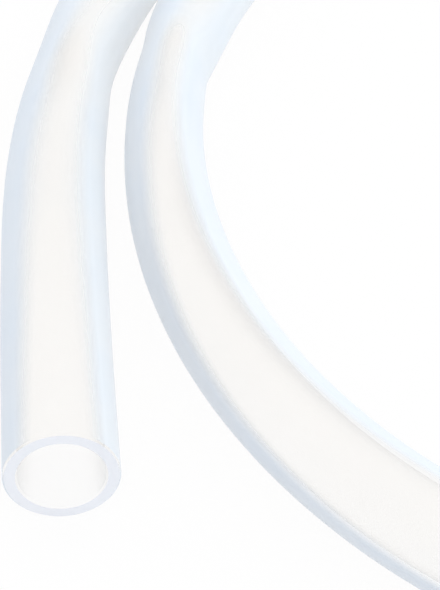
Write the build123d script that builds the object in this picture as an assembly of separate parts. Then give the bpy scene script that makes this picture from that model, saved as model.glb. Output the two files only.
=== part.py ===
from build123d import *
import math
import os

# A length of clear silicone laboratory tubing, lying loosely coiled on a bench.
# It is one extruded piece with a round bore right through it. Both ends are cut square.
# Millimetres, +Z up, with the bench at Z = 0. The outer end points along -Y.

# The extrusion's section
OUTER_DIAMETER = 16.0
BORE_DIAMETER = 12.0

# The coil: a slightly egg-shaped loop, whose every turn lies just inside the one before it
HALF_WIDTH = 117.6  # of the first turn along X, at the middle of the tube
HALF_DEPTH = 124.6  # of the first turn along Y, at the middle of the tube
EGG_SHIFT = 3.2  # how far the loop's blunt left side and its right side both move along X
TURN_GAP = 0.8  # clear space between turns that lie side by side
POINTS_PER_TURN = 20
COIL_POINTS = 24
FIRST_ANGLE = 180.0  # degrees round the loop where the outer end joins it

# Where the tubing isn't coiled, measured from the turns' first point and from their last
OUTER_END_POINTS = [(5.7, -79.2), (2.1, -41.4)]
INNER_END_POINTS = [(27.3, 13.3), (58.5, 15.6), (88.9, 5.7), (116.6, -10.2)]

# How much of the shorter run beside a corner each side of its arc takes up
ARC_SHARE = 0.45


def coil_points():
    """The turns, clockwise from above, each shrinking steadily so that the next fits inside it."""
    step = 360.0 / POINTS_PER_TURN
    shrink = (OUTER_DIAMETER + TURN_GAP) / POINTS_PER_TURN
    points = []
    for k in range(COIL_POINTS):
        angle = math.radians(FIRST_ANGLE - k * step)
        x = (HALF_WIDTH - k * shrink) * math.cos(angle) + EGG_SHIFT * math.cos(2 * angle)
        y = (HALF_DEPTH - k * shrink) * math.sin(angle)
        points.append((x, y))
    return points


def beside(start, offsets):
    """Points at these offsets from a start, all level with the tube's middle line."""
    return [Vector(start[0] + x, start[1] + y, OUTER_DIAMETER / 2) for x, y in offsets]


def route():
    """The tube's middle line: straight runs joined by tangent arcs, level with the bench."""
    turns = coil_points()
    corners = beside(turns[0], OUTER_END_POINTS)
    corners += beside((0, 0), turns)
    corners += beside(turns[-1], INNER_END_POINTS)
    runs = [b - a for a, b in zip(corners, corners[1:])]
    radii = []
    for before, after in zip(runs, runs[1:]):
        turn = math.radians(before.get_angle(after))
        radii.append(ARC_SHARE * min(before.length, after.length) / math.tan(turn / 2))
    print("arc radii mm", [round(radius) for radius in radii])
    print("run lengths mm", [round(run.length, 1) for run in runs])
    return FilletPolyline(*corners, radius=radii)


def tubing():
    """The whole extrusion: a ring section carried along the route from one cut end to the other."""
    line = route()
    start = Plane(origin=line @ 0, z_dir=line % 0)
    section = start * (Circle(OUTER_DIAMETER / 2) - Circle(BORE_DIAMETER / 2))
    tube = sweep(section, path=line)
    area = math.pi * (OUTER_DIAMETER**2 - BORE_DIAMETER**2) / 4
    print("length mm", round(line.length, 1))
    print("volume over section times length", round(tube.volume / (area * line.length), 6))
    return tube, line


tube, line = tubing()

# The part's origin is on the bench, under the middle of the space that the coil takes up
box = tube.bounding_box()
place = Pos(-box.center().X, -box.center().Y, 0)
tube = place * tube
line = place * line
print("loop centre mm", round(-box.center().X, 3), round(-box.center().Y, 3))
for name, at in (("outer", 0), ("inner", 1)):
    print(name, "end mm", tuple(line @ at), "direction", tuple(line % at))

os.makedirs("parts", exist_ok=True)
export_step(tube, "parts/silicone_tubing.step")
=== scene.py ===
# %% [markdown]
# # A loose coil of silicone tubing
#
# Clear silicone tubing is about the plainest thing in a laboratory drawer: one soft, milky tube,
# 16 mm outside and 12 mm inside, one metre long. All of its character is in how it bends, how
# its round section flattens where it does, and how light leaks through its wall.

# %% Load the frame
import math

import bmesh
import bpy
import numpy as np
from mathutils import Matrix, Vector


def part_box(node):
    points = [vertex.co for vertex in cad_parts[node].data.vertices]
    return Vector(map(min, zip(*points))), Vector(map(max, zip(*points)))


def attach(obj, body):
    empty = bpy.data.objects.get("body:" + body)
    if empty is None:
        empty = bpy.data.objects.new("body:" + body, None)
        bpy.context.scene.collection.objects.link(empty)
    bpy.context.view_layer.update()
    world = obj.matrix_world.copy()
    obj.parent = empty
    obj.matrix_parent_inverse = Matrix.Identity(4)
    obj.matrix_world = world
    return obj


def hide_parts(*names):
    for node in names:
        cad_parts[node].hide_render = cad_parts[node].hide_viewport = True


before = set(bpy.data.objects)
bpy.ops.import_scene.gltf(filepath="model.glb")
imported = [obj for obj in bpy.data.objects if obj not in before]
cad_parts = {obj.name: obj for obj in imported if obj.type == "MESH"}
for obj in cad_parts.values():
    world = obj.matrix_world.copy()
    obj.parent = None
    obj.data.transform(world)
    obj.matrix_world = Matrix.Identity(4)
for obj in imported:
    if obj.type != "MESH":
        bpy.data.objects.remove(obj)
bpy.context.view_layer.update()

NODE = "silicone_tubing"
low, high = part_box(NODE)
print("CAD tubing from", [round(v, 4) for v in low], "to", [round(v, 4) for v in high])

# %% [markdown]
# ## Where the tubing runs
#
# The tubing lies in a flat, loose coil of not quite one and a half turns. A route can be drawn by
# hand or worked out. The turns are worked out by a loop, because each repeats the one before,
# only a tube's width smaller. The two loose ends follow no rule, so their points are listed one by
# one, measured from the turns' first and last points. A relaxed coil is never quite round: this
# one is a little egg-shaped, and its left side is blunter than its right one.

# %% The route's points
OUTER_DIAMETER = 0.016
BORE_DIAMETER = 0.012
LENGTH = 1.0

HALF_WIDTH = 0.1176  # of the first turn along X, at the middle of the tube
HALF_DEPTH = 0.1246  # of the first turn along Y
EGG_SHIFT = 0.0032
TURN_GAP = 0.0008
POINTS_PER_TURN = 20
COIL_POINTS = 24
FIRST_ANGLE = 180.0  # degrees round the loop
LOOP_CENTRE = Vector((0.001327, -0.004145))

OUTER_END_POINTS = [(0.0057, -0.0792), (0.0021, -0.0414)]
INNER_END_POINTS = [(0.0273, 0.0133), (0.0585, 0.0156), (0.0889, 0.0057), (0.1166, -0.0102)]


def coil_points():
    """The turns, clockwise from above, each a little smaller than the last."""
    step = 360.0 / POINTS_PER_TURN
    shrink = (OUTER_DIAMETER + TURN_GAP) / POINTS_PER_TURN
    points = []
    for k in range(COIL_POINTS):
        angle = math.radians(FIRST_ANGLE - k * step)
        x = (HALF_WIDTH - k * shrink) * math.cos(angle) + EGG_SHIFT * math.cos(2 * angle)
        y = (HALF_DEPTH - k * shrink) * math.sin(angle)
        points.append(LOOP_CENTRE + Vector((x, y)))
    return points


def beside(start, offsets):
    """Points listed one by one, measured from one of the turns' own."""
    return [start + Vector(offset) for offset in offsets]


turns = coil_points()
route = beside(turns[0], OUTER_END_POINTS) + turns + beside(turns[-1], INNER_END_POINTS)
print("route:", len(route), "points")

# %% [markdown]
# ## One smooth line
#
# Soft tubing has no corners. Joining the points up would give straight runs, and a Bezier curve
# would need handles for each point, so they steer a NURBS spline of order 3 instead, which is
# smooth by itself. Its order is set after the points are in, because Blender lowers it otherwise.
# The spline is then read back as plain points, with the distance along it at each.

# %% The middle line
line_data = bpy.data.curves.new("tubing_line", "CURVE")
line_data.dimensions = "3D"
line_data.resolution_u = 16
spline = line_data.splines.new("NURBS")
spline.points.add(len(route) - 1)
for control, place in zip(spline.points, route):
    control.co = (place.x, place.y, OUTER_DIAMETER / 2, 1.0)
spline.order_u = 3
spline.use_endpoint_u = True

line_object = bpy.data.objects.new("tubing_line", line_data)
bpy.context.scene.collection.objects.link(line_object)
bpy.context.view_layer.update()
line_mesh = bpy.data.meshes.new_from_object(line_object)
line = np.array([v.co for v in line_mesh.vertices])
bpy.data.meshes.remove(line_mesh)
bpy.data.objects.remove(line_object)
along = np.concatenate([[0.0], np.cumsum(np.linalg.norm(np.diff(line, axis=0), axis=1))])
print("middle line:", len(line), "points,", round(float(along[-1]), 4), "m")

# %% [markdown]
# ## The camera
#
# It looks down at the free end from close by, and only a part of the coil is in view. A wide
# lens would make the cut end look huge beside the turn behind it, so the lens is a long one. The
# camera comes early, since what it sees decides how far the rest of the coil may spread.

# %% Camera
CAMERA_PLACE = (-0.0862, -0.2687, 0.2026)
CAMERA_PITCH = 41.2  # degrees down from level
CAMERA_LENS = 122.0
SENSOR = 36.0

camera_data = bpy.data.cameras.new("camera")
camera_data.lens = CAMERA_LENS
camera_data.sensor_width = SENSOR
camera_data.clip_start = 0.01
camera = bpy.data.objects.new("camera", camera_data)
camera.location = CAMERA_PLACE
camera.rotation_euler = (math.radians(90 - CAMERA_PITCH), 0, 0)
bpy.context.scene.collection.objects.link(camera)
bpy.context.scene.camera = camera
print("camera looks down", CAMERA_PITCH, "degrees")

# %% [markdown]
# ## The section flattens as the tube bends
#
# Bend a soft tube and its section turns oval: its inner and outer walls are drawn together. Where
# it bends most it is just about to kink, and narrows over a short stretch. A lattice or a shape
# key could squeeze the finished mesh, but a rule is easier to change: each place on the line gets
# a width, as a share of the round tube's, and a height that grows a little as the width shrinks.

# %% How wide the tube is along its line
def rise(distance, start, end):
    """From 0 at start to 1 at end, smooth at both."""
    t = np.clip((distance - start) / (end - start), 0, 1)
    return t * t * (3 - 2 * t)


def dip(distance, middle, before, after):
    """1 at the middle, fading over one length before it and another after it."""
    spread = np.where(distance < middle, before, after)
    return np.exp(-0.5 * ((distance - middle) / spread) ** 2)


# %% Where it is about to kink
FIRST_PINCH = 0.095  # metres along the line
SECOND_PINCH_BESIDE = (-0.094, 0.011)  # on the next turn, beside the first one
from_there = np.hypot(line[:, 0] - SECOND_PINCH_BESIDE[0], line[:, 1] - SECOND_PINCH_BESIDE[1])
from_there[along < LENGTH / 2] = LENGTH
SECOND_PINCH = float(along[from_there.argmin()])
print("pinches at", FIRST_PINCH, "and", round(SECOND_PINCH, 4), "m along")

# %% The width at each place
FREE_END_ROUND = 0.050  # this much of the outer end isn't flattened at all
FULLY_BENT = 0.100
TIGHTLY_BENT = 0.200
BEND_FLATTENS = 0.10
TIGHT_BEND_FLATTENS = 0.03
INNER_END_ROUND = 0.02
INNER_END_EASES = 0.06
HEIGHT_GAIN = 0.35
PINCHES = [  # how much narrower, where, and over what length before and after that place
    (0.08, FIRST_PINCH, 0.0065, 0.009),
    (0.10, SECOND_PINCH, 0.028, 0.007),
    (0.04, SECOND_PINCH, 0.004, 0.004),
]


def width_share(distance):
    """The tube's width as a share of the round tube's."""
    bent = BEND_FLATTENS * rise(distance, FREE_END_ROUND, FULLY_BENT)
    bent = bent + TIGHT_BEND_FLATTENS * rise(distance, FULLY_BENT, TIGHTLY_BENT)
    bent = bent * (1 - rise(distance, LENGTH - INNER_END_EASES, LENGTH - INNER_END_ROUND))
    share = 1 - bent
    for narrower, place, before, after in PINCHES:
        share = share - narrower * dip(distance, place, before, after)
    return share


shares = width_share(along)
print("width share from", round(float(shares.min()), 3), "to", round(float(shares.max()), 3))

# %% [markdown]
# ## The tube itself
#
# Tubing is extruded through a ring-shaped die. Blender's curve bevel gives a skin with no wall,
# and a Solidify modifier would thicken it without caps to call its cut faces. So the tube is
# built ring by ring: an outer oval, a bore inside it, and at each end a flat cut face that joins
# the two, with its sharp edges taken off by a quarter of a millimetre.

# %% Rings along the line
AROUND = 72
EDGE = 0.00025
WALL = (OUTER_DIAMETER - BORE_DIAMETER) / 2
RING_STEP = 0.0026
LOOK_AHEAD = 0.002

ring_count = int(LENGTH / RING_STEP)
stations = np.linspace(0, along[-1], ring_count)
stations = np.concatenate([[0.0, EDGE], stations[1:-1], [along[-1] - EDGE, along[-1]]])


def on_line(distance):
    """The middle line's points at these distances along it."""
    return np.stack([np.interp(distance, along, line[:, k]) for k in range(3)], axis=1)


middles = on_line(stations)
ahead = on_line(np.minimum(stations + LOOK_AHEAD, along[-1]))
behind = on_line(np.maximum(stations - LOOK_AHEAD, 0))
headings = ahead - behind
headings /= np.linalg.norm(headings, axis=1)[:, None]
sideways = np.stack([headings[:, 1], -headings[:, 0], np.zeros(len(stations))], axis=1)

width = width_share(stations)
height = 1 + HEIGHT_GAIN * (1 - width)
middles[:, 2] = height * OUTER_DIAMETER / 2
print("rings:", len(stations), "of", AROUND, "points")

# %% The outside and the bore
turn = np.linspace(0, 2 * math.pi, AROUND, endpoint=False)


def rings(inset):
    """Points of every ring of a skin that lies this far inside the outside of the tube."""
    across = (width * OUTER_DIAMETER / 2 - inset)[:, None, None]
    upward = (height * OUTER_DIAMETER / 2 - inset)[:, None, None]
    side = across * np.cos(turn)[None, :, None] * sideways[:, None, :]
    up = upward * np.sin(turn)[None, :, None] * np.array([0, 0, 1.0])[None, None, :]
    return middles[:, None, :] + side + up


edge_cut = np.zeros(len(stations))
edge_cut[[0, -1]] = EDGE
outside = rings(edge_cut)
bore = rings(WALL - edge_cut)
print("outside and bore:", outside.shape[0] * outside.shape[1] * 2, "points")

# %% [markdown]
# Each four neighbouring points make a face, and its corners are listed so that it faces out of
# the silicone. The order matters here: light counts as inside the wall or outside it by which
# side of a face it meets, so a skin turned inside out would look wrong.

# %% Faces between the rings
points = np.concatenate([outside.reshape(-1, 3), bore.reshape(-1, 3)])
bore_first = len(stations) * AROUND
faces, uvs, cut_faces = [], [], []
for row in range(len(stations) - 1):
    for col in range(AROUND):
        after = (col + 1) % AROUND
        a, b = row * AROUND + col, row * AROUND + after
        c, d = (row + 1) * AROUND + after, (row + 1) * AROUND + col
        around = [(col, row), (col, row + 1), (col + 1, row + 1), (col + 1, row)]
        faces.append((a, d, c, b))
        uvs.append(around)
        faces.append((bore_first + b, bore_first + c, bore_first + d, bore_first + a))
        uvs.append(around[::-1])
print("faces along the tube:", len(faces))

# %% Cut faces at the two ends
for row in (0, len(stations) - 1):
    for col in range(AROUND):
        after = (col + 1) % AROUND
        a, b = row * AROUND + col, row * AROUND + after
        face = (a, b, bore_first + b, bore_first + a)
        around = [(col, row), (col + 1, row), (col + 1, row), (col, row)]
        cut_faces.append(len(faces))
        faces.append(face if row == 0 else face[::-1])
        uvs.append(around if row == 0 else around[::-1])
print("cut faces:", len(cut_faces))

# %% The mesh
SHARP_EDGE = 35  # degrees
tube_mesh = bpy.data.meshes.new("tubing")
tube_mesh.from_pydata(points.tolist(), [], faces)
uv_layer = tube_mesh.uv_layers.new(name="round_and_along")
corner_uvs = [(u / AROUND, float(stations[v])) for face_uvs in uvs for u, v in face_uvs]
uv_layer.data.foreach_set("uv", np.array(corner_uvs, dtype=np.float32).ravel())
for polygon in tube_mesh.polygons:
    polygon.use_smooth = True
tube_mesh.set_sharp_from_angle(angle=math.radians(SHARP_EDGE))
tube_mesh.validate()
tube = bpy.data.objects.new("tubing", tube_mesh)
bpy.context.scene.collection.objects.link(tube)

solid_test = bmesh.new()
solid_test.from_mesh(tube_mesh)
silicone_volume = solid_test.calc_volume(signed=True)
solid_test.free()
print("tubing:", len(tube_mesh.polygons), "faces")
print("silicone in it:", round(silicone_volume * 1e6, 1), "cubic centimetres")

# %% [markdown]
# ## Shader maths as plain expressions
#
# A finish is a small sum: so much cloud, so much haze. Wired up by hand, each sign in it is a
# node and three links. A socket wrapped in a small class can be added and multiplied like a
# number instead, and each sign puts in the node that does it.

# %% The wrapper
class Socket:
    """One output of a node, which sums can be written with."""

    def __init__(self, tree, link):
        self.tree = tree
        self.link = link

    def node(self, kind, settings=None, inputs=None, output=0):
        """Any other node: its settings first, then its sockets' values or links."""
        made = self.tree.nodes.new(kind)
        for name, value in (settings or {}).items():
            setattr(made, name, value)
        for name, value in (inputs or {}).items():
            if isinstance(value, Socket):
                self.tree.links.new(value.link, made.inputs[name])
            else:
                made.inputs[name].default_value = value
        return Socket(self.tree, made.outputs[output])

    def maths(self, operation, first, second):
        """A Math node with two inputs, each a socket or a number."""
        return self.node("ShaderNodeMath", {"operation": operation}, {0: first, 1: second})

    def __add__(self, other):
        return self.maths("ADD", self, other)

    def __sub__(self, other):
        return self.maths("SUBTRACT", self, other)

    def __rsub__(self, other):
        return self.maths("SUBTRACT", other, self)

    def __mul__(self, other):
        return self.maths("MULTIPLY", self, other)

    __radd__ = __add__
    __rmul__ = __mul__

    def spread(self, start, end):
        """0 up to start, 1 from end on, and smooth between."""
        settings = {"interpolation_type": "SMOOTHSTEP"}
        return self.node("ShaderNodeMapRange", settings, {"Value": self, 1: start, 2: end})

    def between(self, first, second):
        """A colour that goes from the first to the second as this goes from 0 to 1."""
        settings = {"data_type": "RGBA"}
        return self.node("ShaderNodeMix", settings, {0: self, 6: first, 7: second}, output=2)


def new_material(name):
    """A material with its node tree and its main shader."""
    material = bpy.data.materials.new(name)
    material.use_nodes = True
    tree = material.node_tree
    shader = tree.nodes["Principled BSDF"]
    return material, tree, shader


# %% [markdown]
# ## Clear silicone
#
# Silicone isn't glass: the fine silica that strengthens it scatters light, so its wall looks like
# thin milk. Straight through the wall, nearly all light passes and turns slightly warm. Along
# the wall, at the rims, there is much more silicone to look through, and its haze shows bluish.
#
# Real refraction is one way to make it, and bends what is seen through the wall. Here the light
# goes straight on instead, because how hazy each part looks is then set by a few plain numbers.
# Alpha is the haze: it rises where the skin is seen at a grazing angle, and is thinner on a skin
# seen from inside the wall. A slight absorption in the wall gives the warm tone. The skin is
# faintly clouded, with fine lines along it that the die leaves.

# %% The skin's finish
ABSORB_COLOUR = (0.80, 0.58, 0.25, 1)
ABSORB_DENSITY = 2.4
MILK = (0.765, 0.835, 0.905, 1)
COOL_MILK = (0.735, 0.82, 0.91, 1)
CLOUDS_PER_METRE = 60.0
CLOUD_HAZE = 0.02
DIE_LINES = (60.0, 6.0, 1.0)  # how many round the tube, and how many along each metre
LOST_FROM_INSIDE = 0.82  # the share of its haze that a skin loses when seen from inside
SILICONE_IOR = 1.41


def silicone_skin(name, rim_haze, rim_start, rim_end, roughness):
    """Clear across, hazier where one looks along the wall, and faintly clouded all over."""
    material, tree, shader = new_material(name)
    place = Socket(tree, tree.nodes.new("ShaderNodeTexCoord").outputs["Object"])
    round_along = Socket(tree, tree.nodes.new("ShaderNodeUVMap").outputs["UV"])
    noise = "ShaderNodeTexNoise"
    cloud = place.node(noise, None, {"Vector": place, "Scale": CLOUDS_PER_METRE, "Detail": 3.0})
    stretched = place.node("ShaderNodeMapping", None, {"Vector": round_along, "Scale": DIE_LINES})
    drawn = place.node(noise, None, {"Vector": stretched, "Scale": 1.0, "Detail": 2.0})
    tint = cloud.spread(0.35, 0.7).between(MILK, COOL_MILK)
    tree.links.new(tint.link, shader.inputs["Base Color"])
    rough = roughness + 0.12 * cloud + 0.05 * drawn
    tree.links.new(rough.link, shader.inputs["Roughness"])
    relief = {"Height": drawn, "Strength": 0.05, "Distance": 0.0002}
    tree.links.new(drawn.node("ShaderNodeBump", None, relief).link, shader.inputs["Normal"])
    grazing = place.node("ShaderNodeLayerWeight", None, {"Blend": 0.5}, output=1)
    inside = Socket(tree, tree.nodes.new("ShaderNodeNewGeometry").outputs["Backfacing"])
    shown = 1 - LOST_FROM_INSIDE * inside
    haze = CLOUD_HAZE * cloud + rim_haze * grazing.spread(rim_start, rim_end) * shown
    tree.links.new(haze.link, shader.inputs["Alpha"])
    shader.inputs["IOR"].default_value = SILICONE_IOR
    shader.inputs["Specular IOR Level"].default_value = 0.25
    absorb = tree.nodes.new("ShaderNodeVolumeAbsorption")
    absorb.inputs["Color"].default_value = ABSORB_COLOUR
    absorb.inputs["Density"].default_value = ABSORB_DENSITY
    tree.links.new(absorb.outputs[0], tree.nodes["Material Output"].inputs["Volume"])
    return material


# %% [markdown]
# The outside and the bore get one finish each. The bore has a fainter and softer rim: with two
# strong rims, one in the other, it could look like two tubes.

# %% The outside's finish and the bore's
silicone = silicone_skin(
    "clear_silicone", rim_haze=0.84, rim_start=0.36, rim_end=0.58, roughness=0.30
)
bore_skin = silicone_skin(
    "bore_silicone", rim_haze=0.15, rim_start=0.30, rim_end=1.0, roughness=0.38
)
print("skins:", silicone.name, "and", bore_skin.name)

# %% [markdown]
# ## The cut faces
#
# A blade leaves a flat, slightly torn face. One looks from it down the whole length of the wall,
# so it shows the haze nearly in full, as a pale bluish ring. It is the same silicone, with a
# finer grain and a rougher surface, and hardly any light passes.

# %% The cut faces' finish
CUT_HAZE = 0.85
GRAIN_PER_METRE = 900.0
cut, tree, shader = new_material("cut_silicone")
place = Socket(tree, tree.nodes.new("ShaderNodeTexCoord").outputs["Object"])
fine = {"Vector": place, "Scale": GRAIN_PER_METRE, "Detail": 2.0}
grain = place.node("ShaderNodeTexNoise", None, fine)
tint = grain.between((0.84, 0.88, 0.95, 1), (0.88, 0.91, 0.97, 1))
tree.links.new(tint.link, shader.inputs["Base Color"])
rough = 0.45 + 0.2 * grain
tree.links.new(rough.link, shader.inputs["Roughness"])
relief = {"Height": grain, "Strength": 0.15, "Distance": 0.0001}
tree.links.new(grain.node("ShaderNodeBump", None, relief).link, shader.inputs["Normal"])
shader.inputs["IOR"].default_value = SILICONE_IOR
shader.inputs["Alpha"].default_value = CUT_HAZE
print("cut faces:", cut.name)

# %% Which face has which finish
OUTSIDE, CUT, BORE = range(3)
for finish in (silicone, cut, bore_skin):
    tube_mesh.materials.append(finish)
for index in range(1, cut_faces[0], 2):  # outside and bore faces take turns in the list
    tube_mesh.polygons[index].material_index = BORE
for index in cut_faces:
    tube_mesh.polygons[index].material_index = CUT
print("materials:", [m.name for m in tube_mesh.materials])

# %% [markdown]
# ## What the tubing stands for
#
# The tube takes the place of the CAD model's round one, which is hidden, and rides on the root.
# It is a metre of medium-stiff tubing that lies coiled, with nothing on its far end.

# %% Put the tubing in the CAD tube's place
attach(tube, "root")
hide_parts(NODE)
print(tube.name, "rides on root, and stands for", NODE)

# %% [markdown]
# ## Floor, backdrop and light
#
# The tubing lies in a light tent: a white floor, white all round, and soft light from above.
# More lamps would be another way, but a pale thing on white only shows its shape where some of
# the light is missing.
#
# The floor looks white by its own glow rather than by more light on the tubing. The last twentieth
# of it is a plain surface, which keeps a faint shadow.

# %% Floor
REACH = 3.0
corners = [(-REACH, -REACH, 0), (REACH, -REACH, 0), (REACH, REACH, 0), (-REACH, REACH, 0)]
floor_mesh = bpy.data.meshes.new("floor")
floor_mesh.from_pydata(corners, [], [(0, 1, 2, 3)])
floor = bpy.data.objects.new("floor", floor_mesh)
bpy.context.scene.collection.objects.link(floor)
print("floor:", 2 * REACH, "m across")

# %% The floor's white
GLOW_SHARE = 0.95


def seen_rays(tree):
    """1 for the rays that show a thing: from the camera, by reflection or through glass."""
    light_path = tree.nodes.new("ShaderNodeLightPath")
    rays = ("Is Camera Ray", "Is Glossy Ray", "Is Transmission Ray")
    camera_ray, glossy_ray, passing_ray = (Socket(tree, light_path.outputs[r]) for r in rays)
    return camera_ray + glossy_ray + passing_ray


white, tree, shader = new_material("white_floor")
shader.inputs["Base Color"].default_value = (0.9, 0.9, 0.9, 1)
shader.inputs["Roughness"].default_value = 0.9
shader.inputs["Specular IOR Level"].default_value = 0.0
seen = seen_rays(tree) * GLOW_SHARE
glow = tree.nodes.new("ShaderNodeEmission")
mix = tree.nodes.new("ShaderNodeMixShader")
tree.links.new(seen.link, mix.inputs[0])
tree.links.new(shader.outputs[0], mix.inputs[1])
tree.links.new(glow.outputs[0], mix.inputs[2])
tree.links.new(mix.outputs[0], tree.nodes["Material Output"].inputs["Surface"])
floor_mesh.materials.append(white)
print("floor glows by", GLOW_SHARE)

# %% [markdown]
# One side of the tent, low to the left and in front, is left dimmer and bluish, so less light
# reaches the haze on that side of the tube and what does is blue. The rays that show things see
# plain white all round instead.

# %% World
DARK_SIDE = (0.02, 0.11, 0.28, 1)
DARK_FROM = -0.85
BRIGHT_FROM = 0.05
BRIGHT_SIDE = (1.12, 1.11, 1.10, 1)
EAST_SHARE, NORTH_SHARE, UP_SHARE = 0.70, 0.35, 0.60
scene = bpy.context.scene
world = bpy.data.worlds.new("light_tent")
scene.world = world
world.use_nodes = True
tree = world.node_tree
background = tree.nodes["Background"]
split = tree.nodes.new("ShaderNodeSeparateXYZ")
tree.links.new(tree.nodes.new("ShaderNodeTexCoord").outputs["Generated"], split.inputs[0])
east, north, upward = (Socket(tree, out) for out in split.outputs)
side = EAST_SHARE * east + NORTH_SHARE * north + UP_SHARE * upward
tent = side.spread(DARK_FROM, BRIGHT_FROM).between(DARK_SIDE, BRIGHT_SIDE)
tent = seen_rays(tree).between(tent, (1, 1, 1, 1))
tree.links.new(tent.link, background.inputs["Color"])
background.inputs["Strength"].default_value = 1.0
print("tent: dim side", DARK_SIDE[:3], "and bright side", BRIGHT_SIDE[:3])

# %% [markdown]
# One weak, wide lamp stands behind on the right, across from the dim side. It is as large as the
# coil is wide and more, so its light is soft and has no hard edge.

# %% Lamp
LAMP_POWER = 1.2  # watts
LAMP_SIZE = 0.6
LAMP_PLACE = (0.5, 0.3, 0.7)
lamp_data = bpy.data.lights.new("soft_box", "AREA")
lamp_data.size = LAMP_SIZE
lamp_data.energy = LAMP_POWER
lamp = bpy.data.objects.new("soft_box", lamp_data)
lamp.location = LAMP_PLACE
lamp.rotation_euler = Vector(lamp.location).to_track_quat("Z", "Y").to_euler()
scene.collection.objects.link(lamp)
print("lamp:", LAMP_POWER, "W")

# %% [markdown]
# ## Last settings
#
# Each turn of tubing is four skins to look through, and from low down many lie behind each other.
# Light passes only eight see-through skins unless told otherwise, which can be too few here.

# %% Settings
SEE_THROUGH_SKINS = 48
scene.view_settings.view_transform = "Standard"
scene.cycles.transparent_max_bounces = SEE_THROUGH_SKINS
print("see-through skins:", SEE_THROUGH_SKINS)
